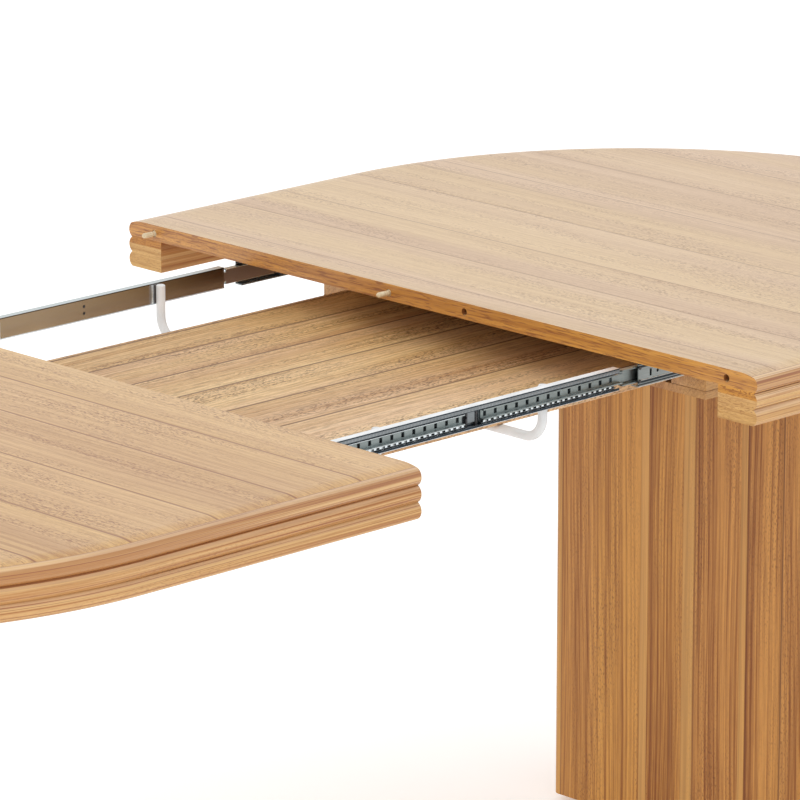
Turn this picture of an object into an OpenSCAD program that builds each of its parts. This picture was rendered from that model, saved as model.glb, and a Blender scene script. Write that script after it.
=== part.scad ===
// Extending dining table: two half tops, each on its own pedestal, joined by a pair of
// telescopic slides. The spare leaf is stored between the slides on two bent bars.
// +Z is up, X runs along the table, and the origin is on the floor at the middle of the gap.
// The table is drawn pulled fully open, as it stands when the leaf is about to be fitted.

/* [Top] */
// Width of the table top
top_w = 1000; // [970:10:1100]
// Height of the table top above the floor
top_h = 750; // [720:5:780]
// Straight length of each half, from its meeting edge to where the round end starts
straight_len = 366; // [330:2:420]
// Thickness of the top board
board_t = 19; // [18:0.5:22]
// Thickness of the thin band glued under the rim
upper_band_t = 9; // [7:0.5:12]
// Thickness of the thick band below it
lower_band_t = 28; // [26:0.5:32]
// Width of the two bands
band_w = 56; // [45:1:70]
// Depth of the three rounded beads that are cut into the edge
bead_d = 5.2; // [3:0.1:7]
// How far the top's border rounds down to the first bead
ease_drop = 3; // [1:0.5:4]
// Width of that border
ease_w = 22; // [12:1:30]

/* [Leaf] */
// Width of the spare leaf, which it adds to the table
leaf_w = 490; // [440:5:500]
// Room left when the table is pulled fully open round the leaf
leaf_slack = 7; // [4:1:14]
// Depth of the stored leaf's upper face below the table top
leaf_drop = 60; // [58:1:66]

/* [Locating pins] */
// Distance of the inner pin from the centre line
pin_in_y = 60.5; // [50:0.5:80]
// Distance of the outer pin from the centre line
pin_out_y = 456; // [430:1:470]
// Depth of the pins below the table top
pin_drop = 10.5; // [9:0.1:10.5]
// Diameter of the pin holes
pin_hole_d = 8.4; // [8:0.1:9]
// Diameter of a pin's nose
pin_d = 6; // [5:0.1:6.6]
// Length of the pin that stands out of the edge
pin_out = 18; // [12:1:22]
// Depth of the pin holes
pin_hole_len = 30; // [26:1:40]

/* [Slides] */
// Gap between the stored leaf's long edges and the bearers
leaf_side_gap = 7.6; // [5:0.2:12]
// Height of the middle channel
mid_h = 24.8; // [24.4:0.1:25]
// Depth of the middle channel, from its back to its open side
mid_d = 9.5; // [9.2:0.1:10]
// Length of the middle channel
mid_len = 453; // [440:1:460]
// Gap between the outer channels and the board above them
slide_gap = 1.1; // [0.8:0.1:2]
// Thickness of the slides' sheet steel
sheet = 1.2; // [1:0.1:1.3]
// Running clearance between channels
run_gap = 0.4; // [0.3:0.05:0.4]
// Length of the outer channels
outer_len = 450; // [420:5:460]
// Distance of an outer channel's mouth from the meeting edge of its half
mouth_set = 6; // [4:1:12]
// Height of the runner that joins the channels
runner_h = 11.6; // [11.2:0.1:12]
// How far the runner reaches into an outer channel
runner_in = 80; // [60:5:100]
// How far the runner moves in the middle channel
runner_float = 4; // [2:1:12]
// Diameter of the balls
ball_d = 4.8; // [4.4:0.1:5]
// Spacing of the balls and of the slots beside them
ball_pitch = 16; // [14:0.5:20]

/* [Carrier bars] */
// Diameter of the bent bars that carry the leaf
bar_d = 10.5; // [8:0.5:11]
// Distance between the two bars
bar_gap = 247; // [230:1:248]
// Bend radius at the middle of the bar
bar_bend = 25; // [18:1:28]

/* [Underframe] */
// Width of the bearers beside the leaf
bearer_w = 53; // [40:1:56]
// Distance of the bearers' ends from the meeting edge
bearer_set = 131.6; // [131:0.1:150]
// Length of the bearers and of the plate under them
bearer_len = 510; // [505:5:525]
// Gap from the middle channel's back to the bearers
bearer_gap = 5; // [4:0.5:8]
// Thickness of the plate under the bearers
plate_t = 9; // [8:1:16]
// Width of the rails that hold the outer channels
rail_w = 54; // [40:1:60]

/* [Pedestals] */
// Width of a pedestal, across the table
ped_w = 410; // [380:10:480]
// Depth of a pedestal, along the table
ped_d = 215; // [200:5:250]
// Distance of a pedestal's back from the outer ends of the bearers
ped_end_gap = 7; // [2:1:20]
// Thickness of the pedestal's boards
ped_t = 18; // [16:1:25]
// Radius of the pedestal's upright edges
ped_r = 10; // [6:1:14]
// Height of the base glides
glide_h = 8; // [5:1:15]
// Diameter of the base glides
glide_d = 30; // [24:1:40]

/* [Hidden] */
// Fits and small sizes
eps = 0.01;
seat_gap = 0.3;
half_open = (leaf_w + leaf_slack) / 2;
end_r = top_w / 2;
leaf_len = top_w;
rim_h = board_t + upper_band_t + lower_band_t;
board_z = top_h - board_t;
band_z = board_z - upper_band_t;
rim_z = top_h - rim_h;
rim_flat = end_r - bead_d - ease_w;
bead_h = (rim_h - ease_drop) / 3;
bead_r = (bead_h * bead_h / 4 + bead_d * bead_d) / (2 * bead_d);
ease_r = (ease_w * ease_w + ease_drop * ease_drop) / (2 * ease_drop);
pin_z = top_h - pin_drop;
pin_back_gap = 4;
leaf_z = top_h - leaf_drop - board_t;

// Across the table, from the stored leaf outwards: bearer, then slide
bearer_y0 = leaf_w / 2 + leaf_side_gap;
bearer_y1 = bearer_y0 + bearer_w;
slide_y = bearer_y1 + bearer_gap;

// Middle channel, runner and cage, as distances from the back of the channel
mid_half = mid_len / 2;
mid_lip = 1.6;
mid_lip_top = 4.4;
cage_t = 0.6;
cage_y = sheet + 0.5;
cage_d = mid_d - sheet - cage_y - 0.4;
runner_y = cage_y + cage_t + 0.3;
runner_t = 1.4;
runner_d = mid_d - runner_y - 0.5;
ball_y = cage_y + cage_t + 0.2 + ball_d / 2;
ball_z = (runner_h / 2 + mid_h / 2 - sheet) / 2;
stop_half = 8.5;
stop_gap = 1.5;
tab_half = 6;
tab_out = 2.8;
stop_d = 3.6;
tab_h = 13;
stop_shift = 6;
runner_start = stop_half + stop_gap + runner_float;
runner_x1 = half_open + mouth_set + runner_in;
shoe_len = 20;
neck_h = 18;
neck_gap = 1.5;
neck_x0 = mid_half + runner_float + neck_gap;
neck_x1 = runner_x1 - shoe_len;
cage_start = stop_half + stop_gap + runner_float / 2;
cage_x1 = mid_half - 4;
slot_w = 4.5;
slot_h = 6.4;
slot_inset = 4;
stop_notch_r = 1.5;
back_hole_x = 18;
back_hole_z = 4;
back_hole_r = 1.8;

// Outer channels
outer_h = mid_h + 2 * (sheet + run_gap);
slide_z = board_z - slide_gap - outer_h / 2;
outer_back = slide_y + mid_d + run_gap + sheet;
outer_tip = slide_y + seat_gap;
outer_x0 = half_open + mouth_set;
outer_x1 = outer_x0 + outer_len;
punch_x = 18;
punch_w = 3;
punch_h = 8;
punch_hole_x = 30.5;
punch_hole_r = 1.8;
buffer_w = 8;
screw_r = 1.9;
screw_head_r = 3.2;
screw_len = 24;

// Carrier bars
weld_gap = 0.1;
bar_top_drop = 1.5;
bar_y = slide_y - bar_d / 2 - weld_gap;
bar_z = leaf_z - seat_gap - bar_d / 2;
bar_top = slide_z + mid_h / 2 - bar_top_drop;

// Underframe
bearer_x0 = half_open + bearer_set;
plate_gap = 1;
plate_z1 = leaf_z - plate_gap;
plate_z0 = plate_z1 - plate_t;
screw_bite = 11;
frame_screw_r = 2.4;
frame_head_r = 4.8;
frame_head_h = 3;
bearer_screw_inset = 40;
channel_screw_inset = 30;
channel_screw_end = 15;
rail_screw_inset = 60;
rail_screw_end = 45;
rail_len = outer_x1 - bearer_x0;
bearer_screw_step = (bearer_len - 2 * bearer_screw_inset) / 3;
channel_screw_step = (rail_len - channel_screw_inset - channel_screw_end) / 3;
rail_screw_step = (rail_len - rail_screw_inset - rail_screw_end) / 2;
bearer_screw_x = [for (i = [0:3]) bearer_x0 + bearer_screw_inset + i * bearer_screw_step];
screw_x = [for (i = [0:3]) bearer_x0 + channel_screw_inset + i * channel_screw_step];
rail_screw_x = [for (i = [0:2]) bearer_x0 + rail_screw_inset + i * rail_screw_step];
bearer_mid = bearer_y0 + bearer_w / 2;
rail_mid = outer_back + 0.7 * rail_w;
bolt_r = 3;
bolt_head_r = 5.5;
bolt_head_h = 3;
bolt_len = 60;
bolt_inset = 40;

// Pedestals
ped_x1 = bearer_x0 + bearer_len - ped_end_gap;
ped_x0 = ped_x1 - ped_d;
ped_z0 = glide_h;
cleat_w = 40;
glide_inset = 34;
glide_lip = 2;

oak = [0.80, 0.62, 0.42];
oak_dark = [0.70, 0.50, 0.31];
zinc = [0.66, 0.69, 0.72];
zinc_dark = [0.45, 0.48, 0.51];
black = [0.08, 0.08, 0.09];
white = [0.90, 0.90, 0.90];

// Placing: everything is drawn for the right half and the far slide
module left_side() { rotate([0, 0, 180]) children(); }
module near_side() { mirror([0, 1, 0]) children(); }
module both_sides() { children(); mirror([0, 1, 0]) children(); }

// Section helpers: a 2D shape drawn in Y and Z is run along X
module run_x(x0, x1) { translate([x0, 0, 0]) rotate([90, 0, 90]) linear_extrude(x1 - x0) children(); }
module drill_y(x, z, r, y0, y1) {
  translate([x, y0, z]) rotate([-90, 0, 0]) cylinder(r = r, h = y1 - y0, $fn = 32);
}
module drill_z(x, y, r, z0, z1) { translate([x, y, z0]) cylinder(r = r, h = z1 - z0, $fn = 32); }

// Half tops
// Section of the whole rim: the top rounds down softly, then come three beads of one height
module rim_section() {
  square([rim_flat, rim_h]);
  intersection() {
    translate([rim_flat, rim_h - ease_r]) circle(r = ease_r, $fn = 360);
    translate([rim_flat - eps, 0]) square([ease_w + eps, rim_h]);
  }
  for (i = [0:2]) intersection() {
    translate([end_r - bead_r, (i + 0.5) * bead_h]) circle(r = bead_r, $fn = 96);
    translate([end_r - bead_d - eps, i * bead_h]) square([bead_d + 1, bead_h]);
  }
}
// One layer's share of that section, standing on its own lower face
module layer_section(z, t, inner) {
  translate([0, rim_z - z]) intersection() {
    rim_section();
    translate([inner, z - rim_z]) square([end_r + 1 - inner, t]);
  }
}
module round_end(z, t, inner) {
  translate([half_open + straight_len, 0, 0]) intersection() {
    rotate_extrude($fn = 180) layer_section(z, t, inner);
    translate([0, -end_r - 1, -1]) cube([end_r + 2, 2 * end_r + 2, t + 2]);
  }
}
module both_edges(z, t, inner) {
  layer_section(z, t, inner);
  mirror([1, 0]) layer_section(z, t, inner);
}
module half_layer(z, t, inner) {
  translate([0, 0, z]) {
    round_end(z, t, inner);
    run_x(half_open, half_open + straight_len + eps) both_edges(z, t, inner);
  }
}
module half_top() {
  color(oak) difference() {
    half_layer(board_z, board_t, 0);
    for (y = [-pin_in_y, -pin_out_y, pin_in_y, pin_out_y])
      translate([half_open - 1, y, pin_z]) rotate([0, 90, 0])
        cylinder(d = pin_hole_d, h = pin_hole_len + 1, $fn = 32);
    both_sides() {
      bearer_screw_holes(board_z - 1, board_z + screw_bite + 1);
      rail_screw_holes(board_z - 1, board_z + screw_bite + 1);
    }
  }
}
module rim_band(z, t) {
  color(oak_dark) half_layer(z, t, end_r - band_w);
}
// A pin is a stepped dowel: its root fills the hole and its nose stands out of the edge
module locating_pin() {
  root_d = pin_hole_d - 0.2;
  rotate([0, -90, 0]) rotate_extrude($fn = 48) difference() {
    union() {
      translate([0, -pin_hole_len + pin_back_gap])
        square([root_d / 2, pin_hole_len - pin_back_gap - 1]);
      translate([0, -2]) square([pin_d / 2, 2 + pin_out - pin_d / 2]);
      translate([0, pin_out - pin_d / 2]) circle(d = pin_d, $fn = 48);
    }
    translate([-pin_d, -pin_hole_len]) square([pin_d, pin_hole_len + pin_out + pin_d]);
  }
}
module half_pins() {
  color([0.86, 0.78, 0.62]) for (y = [pin_in_y, pin_out_y])
    translate([half_open, y, pin_z]) locating_pin();
}

// Spare leaf, stored lengthwise: its short ends carry the same edge as the top boards
module spare_leaf() {
  color(oak) difference() {
    translate([0, leaf_w / 2, leaf_z]) rotate([90, 0, 0]) linear_extrude(leaf_w)
      both_edges(board_z, board_t, 0);
    for (x = [pin_in_y, pin_out_y], s = [-1, 1])
      translate([s * x, s * (leaf_w / 2 + 1), leaf_z + board_t - pin_drop]) rotate([s * 90, 0, 0])
        cylinder(d = pin_hole_d, h = pin_hole_len + 1, $fn = 32);
  }
}

// Carrier bar: one steel rod bent into a wide U that hangs from the two middle channels
module carrier_bar(x) {
  color(white) translate([x, 0, 0]) {
    both_sides() {
      translate([0, bar_y, bar_z + bar_bend])
        cylinder(d = bar_d, h = bar_top - bar_z - bar_bend, $fn = 40);
      translate([0, bar_y - bar_bend, bar_z + bar_bend]) intersection() {
        rotate([0, 90, 0]) rotate_extrude($fn = 72)
          translate([bar_bend, 0]) circle(d = bar_d, $fn = 40);
        translate([-bar_d, 0, -bar_bend - bar_d]) cube([2 * bar_d, bar_bend + bar_d, bar_bend + bar_d]);
      }
    }
    translate([0, -bar_y + bar_bend, bar_z]) rotate([-90, 0, 0])
      cylinder(d = bar_d, h = 2 * (bar_y - bar_bend), $fn = 40);
  }
}

// Middle channel: a C of sheet steel, open outwards, with lips that keep the balls in.
// A tab pressed out near its middle holds the two stops, with two small holes beside it.
module middle_channel(stop_x, side) {
  color(zinc) translate([0, slide_y, slide_z]) {
    difference() {
      run_x(-mid_half, mid_half) difference() {
        translate([0, -mid_h / 2]) square([mid_d, mid_h]);
        translate([sheet, -mid_h / 2 + sheet]) square([mid_d, mid_h - 2 * sheet]);
      }
      for (z = [-back_hole_z, back_hole_z])
        drill_y(stop_x + side * back_hole_x, z, back_hole_r, -1, sheet + 1);
    }
    translate([-mid_half, mid_d - sheet, mid_h / 2 - sheet - mid_lip_top])
      cube([mid_len, sheet, mid_lip_top]);
    translate([-mid_half, mid_d - sheet, -mid_h / 2 + sheet]) cube([mid_len, sheet, mid_lip]);
    translate([stop_x - tab_half, sheet - eps, -tab_h / 2]) cube([2 * tab_half, tab_out, tab_h]);
  }
}
// Stop: a nylon block on each side of the tab, notched at its middle to give when it is hit
module middle_stop(stop_x) {
  h = mid_h - 2 * sheet - 1;
  color(black) for (s = [-1, 1]) translate([stop_x + s * stop_half, slide_y + sheet, slide_z])
    difference() {
      translate([s > 0 ? tab_half - stop_half : 0, 0, -h / 2])
        cube([stop_half - tab_half, stop_d, h]);
      translate([0, mid_d, 0]) rotate([90, 0, 0]) cylinder(r = stop_notch_r, h = 2 * mid_d, $fn = 32);
    }
}
module stop_pair() {
  middle_stop(-stop_shift);
  near_side() middle_stop(stop_shift);
}

// Runner: the narrow rail between two channels, with a punched web and two flanges.
// Past the middle channel its neck is taller, to fill the outer channel.
module runner_section(h) {
  translate([runner_y, -h / 2]) difference() {
    square([runner_d, h]);
    translate([runner_t, runner_t]) square([runner_d, h - 2 * runner_t]);
  }
}
module runner(stop_x) {
  x0 = stop_x + runner_start;
  color(zinc_dark) translate([0, slide_y, slide_z]) difference() {
    union() {
      run_x(x0, neck_x0 + eps) runner_section(runner_h);
      run_x(neck_x0, neck_x1) runner_section(neck_h);
      run_x(neck_x1 - eps, runner_x1) runner_section(runner_h);
    }
    for (x = [x0 + slot_inset : ball_pitch : mid_half - slot_w])
      translate([x, runner_y - 1, -slot_h / 2]) cube([slot_w, runner_t + 2, slot_h]);
  }
}
// Shoe: a nylon block on the runner's end that slides in the outer channel
module runner_shoe() {
  h = outer_h - 2 * sheet - 2 * seat_gap;
  color(black) translate([0, slide_y, slide_z]) difference() {
    translate([neck_x1, outer_tip - slide_y, -h / 2])
      cube([shoe_len, mid_d + run_gap - 2 * seat_gap, h]);
    run_x(neck_x1 - 1, runner_x1 + 1) runner_section(runner_h);
    translate([neck_x1 - 1, runner_y + runner_t, -runner_h / 2 + runner_t])
      cube([shoe_len + 2, mid_d, runner_h - 2 * runner_t]);
  }
}

// Ball cage: a thin C round the runner, with a hole for every ball and a window beside it
function cage_balls(stop_x) =
  [stop_x + cage_start + ball_pitch / 2 : ball_pitch : cage_x1 - ball_pitch / 2];
module ball_cage(stop_x) {
  x0 = stop_x + cage_start;
  half = ball_z + cage_t / 2;
  color(zinc) translate([0, slide_y, slide_z]) difference() {
    translate([x0, cage_y, -half]) cube([cage_x1 - x0, cage_d, 2 * half]);
    translate([x0 - 1, cage_y + cage_t, -half + cage_t])
      cube([cage_x1 - x0 + 2, mid_d, 2 * half - 2 * cage_t]);
    for (x = cage_balls(stop_x)) {
      translate([x, ball_y, -mid_h / 2]) cylinder(d = ball_d + 0.3, h = mid_h, $fn = 32);
      translate([x - slot_w / 2, cage_y - 1, -slot_h / 2]) cube([slot_w, cage_t + 2, slot_h]);
    }
  }
}
module cage_of_balls(stop_x) {
  color(zinc) for (x = cage_balls(stop_x), s = [-1, 1])
    translate([x, slide_y + ball_y, slide_z + s * ball_z]) sphere(d = ball_d, $fn = 24);
}

module cage_pair() {
  cage_of_balls(-stop_shift);
  near_side() cage_of_balls(stop_shift);
}

// Outer channel: a wider C, open inwards, screwed to its rail through the web
module outer_channel() {
  color(zinc) difference() {
    translate([0, 0, slide_z]) run_x(outer_x0, outer_x1) difference() {
      translate([outer_tip, -outer_h / 2]) square([outer_back - outer_tip, outer_h]);
      translate([outer_tip - 1, -outer_h / 2 + sheet])
        square([outer_back - sheet - outer_tip + 1, outer_h - 2 * sheet]);
    }
    for (x = screw_x) drill_y(x, slide_z, screw_head_r + 0.2, outer_back - 2 * sheet, outer_back + 1);
    drill_y(outer_x0 + punch_hole_x, slide_z, punch_hole_r, outer_back - 2 * sheet, outer_back + 1);
    translate([outer_x0 + punch_x, outer_back - 2 * sheet, slide_z - punch_h / 2])
      cube([punch_w, 3 * sheet, punch_h]);
  }
}
module channel_screws() {
  color(zinc_dark) both_sides() for (x = screw_x) {
    drill_y(x, slide_z, screw_head_r, outer_back - sheet, outer_back);
    drill_y(x, slide_z, screw_r, outer_back - eps, outer_back + screw_len);
  }
}
// Rubber buffer on the mouth of an outer channel, under the board
module buffer() {
  color(black) translate([outer_x0 + 1, outer_tip + 2, board_z - slide_gap])
    cube([buffer_w, buffer_w, slide_gap - 0.1]);
}

// Rail: carries an outer channel, and is screwed up into the board
module rail() {
  color(oak_dark) difference() {
    translate([bearer_x0, outer_back, rim_z])
      cube([rail_len, rail_w, board_z - rim_z]);
    for (x = screw_x) drill_y(x, slide_z, screw_r + 0.1, outer_back - 1, outer_back + screw_len + 1);
    rail_screw_holes(rim_z - 1, board_z + 1);
    for (x = rail_screw_x) drill_z(x, rail_mid, frame_head_r + 0.2, rim_z - 1, rim_z + frame_head_h);
  }
}
module rail_screw_holes(z0, z1) {
  for (x = rail_screw_x) drill_z(x, rail_mid, frame_screw_r + 0.1, z0, z1);
}

// Bearer: joins the board to the plate on the pedestal, beside the leaf's store
module bearer() {
  color(oak) difference() {
    translate([bearer_x0, bearer_y0, plate_z1]) cube([bearer_len, bearer_w, board_z - plate_z1]);
    bearer_screw_holes(plate_z1 - 1, board_z + 1);
  }
}
module bearer_screw_holes(z0, z1) {
  for (x = bearer_screw_x) drill_z(x, bearer_mid, frame_screw_r + 0.1, z0, z1);
}
// Plate: spans the two bearers under the stored leaf, and is bolted down to the pedestal
module frame_plate() {
  color(oak) difference() {
    translate([bearer_x0, -bearer_y1, plate_z0]) cube([bearer_len, 2 * bearer_y1, plate_t]);
    both_sides() {
      bearer_screw_holes(plate_z0 - 1, plate_z1 + 1);
      for (x = bearer_screw_x)
        drill_z(x, bearer_mid, frame_head_r + 0.2, plate_z0 - 1, plate_z0 + frame_head_h);
    }
    for (p = bolt_places()) {
      drill_z(p[0], p[1], bolt_r + 0.2, plate_z0 - 1, plate_z1 + 1);
      drill_z(p[0], p[1], bolt_head_r + 0.2, plate_z1 - bolt_head_h, plate_z1 + 1);
    }
  }
}
module frame_screw(x, y, z) {
  drill_z(x, y, frame_screw_r, z, board_z + screw_bite);
  drill_z(x, y, frame_head_r, z, z + frame_head_h);
}
module frame_screws() {
  color(zinc_dark) both_sides() {
    for (x = bearer_screw_x) frame_screw(x, bearer_mid, plate_z0);
    for (x = rail_screw_x) frame_screw(x, rail_mid, rim_z);
  }
}

// Pedestal: a box of upright boards with rounded corners, on a base board with glides
function bolt_places() = [for (x = [ped_x0 + bolt_inset, ped_x1 - bolt_inset], s = [-1, 1])
  [x, s * (ped_w / 2 - ped_t - cleat_w / 2)]];
module ped_face_section() {
  difference() {
    translate([0, -ped_w / 2]) square([ped_t, ped_w]);
    for (s = [-1, 1]) translate([0, s * ped_w / 2]) square(2 * ped_r, center = true);
  }
  for (s = [-1, 1]) intersection() {
    translate([ped_r, s * (ped_w / 2 - ped_r)]) circle(r = ped_r, $fn = 48);
    translate([0, s * (ped_w / 2 - ped_r / 2) - ped_r / 2]) square([ped_r, ped_r]);
  }
}
module ped_face() {
  color(oak) translate([ped_x0, 0, ped_z0]) linear_extrude(plate_z0 - ped_z0) ped_face_section();
}
module ped_back() {
  color(oak) translate([ped_x1, 0, ped_z0]) mirror([1, 0, 0])
    linear_extrude(plate_z0 - ped_z0) ped_face_section();
}
module ped_sides() {
  color(oak) both_sides() translate([ped_x0 + ped_t, ped_w / 2 - ped_t, ped_z0])
    cube([ped_d - 2 * ped_t, ped_t, plate_z0 - ped_z0]);
}
// Cleat: a block inside the pedestal's head that takes the bolts
module ped_cleats() {
  color(oak_dark) both_sides() difference() {
    translate([ped_x0 + ped_t, ped_w / 2 - ped_t - cleat_w, plate_z0 - 2 * cleat_w])
      cube([ped_d - 2 * ped_t, cleat_w, 2 * cleat_w]);
    for (p = bolt_places()) if (p[1] > 0)
      drill_z(p[0], p[1], bolt_r + 0.1, plate_z0 - bolt_len - 1, plate_z0 + 1);
  }
}
module ped_base() {
  color(oak_dark) difference() {
    translate([ped_x0 + ped_t, -ped_w / 2 + ped_t, ped_z0])
      cube([ped_d - 2 * ped_t, ped_w - 2 * ped_t, ped_t]);
    for (p = glide_places()) drill_z(p[0], p[1], bolt_r + 0.1, ped_z0 - 1, ped_z0 + ped_t + 1);
  }
}
module ped_bolts() {
  color(zinc_dark) for (p = bolt_places()) {
    drill_z(p[0], p[1], bolt_r, plate_z0 - bolt_len, plate_z1 - bolt_head_h / 2);
    drill_z(p[0], p[1], bolt_head_r, plate_z1 - bolt_head_h, plate_z1 - 0.2);
  }
}
function glide_places() = [for (x = [ped_x0 + glide_inset, ped_x1 - glide_inset], s = [-1, 1])
  [x, s * (ped_w / 2 - glide_inset)]];
module glides() {
  color(black) for (p = glide_places()) translate([p[0], p[1], 0]) {
    cylinder(d1 = glide_d - 2 * glide_lip, d2 = glide_d, h = glide_lip, $fn = 48);
    translate([0, 0, glide_lip]) cylinder(d = glide_d, h = glide_h - glide_lip, $fn = 48);
    cylinder(r = bolt_r, h = ped_z0 + ped_t - 1, $fn = 32);
  }
}

half_top();  // right_top
rim_band(band_z, upper_band_t);  // right_rim_upper_band
rim_band(rim_z, lower_band_t);  // right_rim_lower_band
half_pins();  // right_locating_pins
left_side() half_top();  // left_top
left_side() rim_band(band_z, upper_band_t);  // left_rim_upper_band
left_side() rim_band(rim_z, lower_band_t);  // left_rim_lower_band
left_side() half_pins();  // left_locating_pins
spare_leaf();
carrier_bar(bar_gap / 2);  // carrier_bar_right
carrier_bar(-bar_gap / 2);  // carrier_bar_left
near_side() middle_channel(stop_shift, -1);  // middle_channel_near
middle_channel(-stop_shift, 1);  // middle_channel_far
stop_pair();  // middle_stops
near_side() runner(stop_shift);  // right_runner_near
runner(-stop_shift);  // right_runner_far
left_side() runner(-stop_shift);  // left_runner_near
left_side() near_side() runner(stop_shift);  // left_runner_far
both_sides() runner_shoe();  // right_runner_shoes
left_side() both_sides() runner_shoe();  // left_runner_shoes
near_side() ball_cage(stop_shift);  // right_ball_cage_near
ball_cage(-stop_shift);  // right_ball_cage_far
left_side() ball_cage(-stop_shift);  // left_ball_cage_near
left_side() near_side() ball_cage(stop_shift);  // left_ball_cage_far
cage_pair();  // right_balls
left_side() cage_pair();  // left_balls
near_side() outer_channel();  // right_channel_near
outer_channel();  // right_channel_far
left_side() outer_channel();  // left_channel_near
left_side() near_side() outer_channel();  // left_channel_far
channel_screws();  // right_channel_screws
left_side() channel_screws();  // left_channel_screws
both_sides() buffer();  // right_buffers
left_side() both_sides() buffer();  // left_buffers
both_sides() rail();  // right_rails
left_side() both_sides() rail();  // left_rails
near_side() bearer();  // right_bearer_near
bearer();  // right_bearer_far
left_side() bearer();  // left_bearer_near
left_side() near_side() bearer();  // left_bearer_far
frame_screws();  // right_frame_screws
left_side() frame_screws();  // left_frame_screws
frame_plate();  // right_plate
left_side() frame_plate();  // left_plate
ped_face();  // right_pedestal_face
ped_back();  // right_pedestal_back
ped_sides();  // right_pedestal_sides
ped_base();  // right_pedestal_base
left_side() ped_face();  // left_pedestal_face
left_side() ped_back();  // left_pedestal_back
left_side() ped_sides();  // left_pedestal_sides
left_side() ped_base();  // left_pedestal_base
ped_cleats();  // right_pedestal_cleats
left_side() ped_cleats();  // left_pedestal_cleats
ped_bolts();  // right_pedestal_bolts
left_side() ped_bolts();  // left_pedestal_bolts
glides();  // right_glides
left_side() glides();  // left_glides
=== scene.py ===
import math

import bmesh
import bpy
from bmesh.types import BMEdge, BMVert
from mathutils import Matrix, Vector


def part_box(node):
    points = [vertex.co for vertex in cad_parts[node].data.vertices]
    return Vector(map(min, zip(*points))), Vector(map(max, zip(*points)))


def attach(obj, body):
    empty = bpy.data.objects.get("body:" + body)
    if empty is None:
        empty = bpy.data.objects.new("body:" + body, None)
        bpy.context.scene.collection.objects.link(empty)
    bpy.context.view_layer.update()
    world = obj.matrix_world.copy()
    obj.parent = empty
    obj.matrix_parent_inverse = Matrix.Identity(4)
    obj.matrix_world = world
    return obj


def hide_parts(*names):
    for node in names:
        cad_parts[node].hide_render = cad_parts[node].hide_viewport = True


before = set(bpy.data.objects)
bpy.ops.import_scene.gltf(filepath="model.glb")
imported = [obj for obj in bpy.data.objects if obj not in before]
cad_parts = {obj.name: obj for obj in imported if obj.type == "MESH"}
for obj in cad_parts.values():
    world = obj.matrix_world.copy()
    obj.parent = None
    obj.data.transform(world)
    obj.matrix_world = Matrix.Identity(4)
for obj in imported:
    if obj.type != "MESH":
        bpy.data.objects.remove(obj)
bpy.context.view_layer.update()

# Camera
# A long lens looks along the table from its near left end, a little from above,
# at the gap between the two pulled-out halves, as the photograph does.
camera_place = Vector((-4.0776, -4.404, 2.310))
camera_yaw = math.radians(45.7817)
camera_tilt = math.radians(15.2564)
picture_width = 800
focal_in_pixels = 5692.13

camera_data = bpy.data.cameras.new("camera")
camera_data.sensor_width = 36.0
camera_data.lens = focal_in_pixels / picture_width * camera_data.sensor_width
camera_data.clip_end = 100.0
camera = bpy.data.objects.new("camera", camera_data)
bpy.context.scene.collection.objects.link(camera)
sight = Vector((
    math.cos(camera_yaw) * math.cos(camera_tilt),
    math.sin(camera_yaw) * math.cos(camera_tilt),
    -math.sin(camera_tilt),
))
camera.location = camera_place
camera.rotation_euler = sight.to_track_quat("-Z", "Y").to_euler()
bpy.context.scene.camera = camera

# Studio
# A plain white floor in white surroundings, with a weak soft lamp from the camera's left. The
# floor glows a little, so that it stays white right up to the table.
world = bpy.data.worlds.new("white_surround")
world.use_nodes = True
world.node_tree.nodes["Background"].inputs["Color"].default_value = (1.0, 1.0, 1.0, 1.0)
world.node_tree.nodes["Background"].inputs["Strength"].default_value = 1.0
bpy.context.scene.world = world
bpy.context.scene.view_settings.view_transform = "Standard"

floor_mesh = bmesh.new()
bmesh.ops.create_grid(floor_mesh, x_segments=1, y_segments=1, size=30.0)
floor_data = bpy.data.meshes.new("floor")
floor_mesh.to_mesh(floor_data)
floor_mesh.free()
floor = bpy.data.objects.new("floor", floor_data)
bpy.context.scene.collection.objects.link(floor)
floor_paint = bpy.data.materials.new("floor_paint")
floor_paint.use_nodes = True
floor_shader = floor_paint.node_tree.nodes["Principled BSDF"]
floor_shader.inputs["Base Color"].default_value = (0.9, 0.9, 0.9, 1.0)
floor_shader.inputs["Roughness"].default_value = 0.9
floor_shader.inputs["Emission Color"].default_value = (1.0, 1.0, 1.0, 1.0)
floor_shader.inputs["Emission Strength"].default_value = 0.33
floor_data.materials.append(floor_paint)


def soft_lamp(name, place, aim, size, power):
    data = bpy.data.lights.new(name, "AREA")
    data.size = size
    data.energy = power
    lamp = bpy.data.objects.new(name, data)
    lamp.location = place
    lamp.rotation_euler = (Vector(aim) - Vector(place)).to_track_quat("-Z", "Y").to_euler()
    bpy.context.scene.collection.objects.link(lamp)


soft_lamp("side_lamp", (-3.0, -1.2, 1.6), (0.3, 0.0, 0.5), 1.6, 14)

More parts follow.
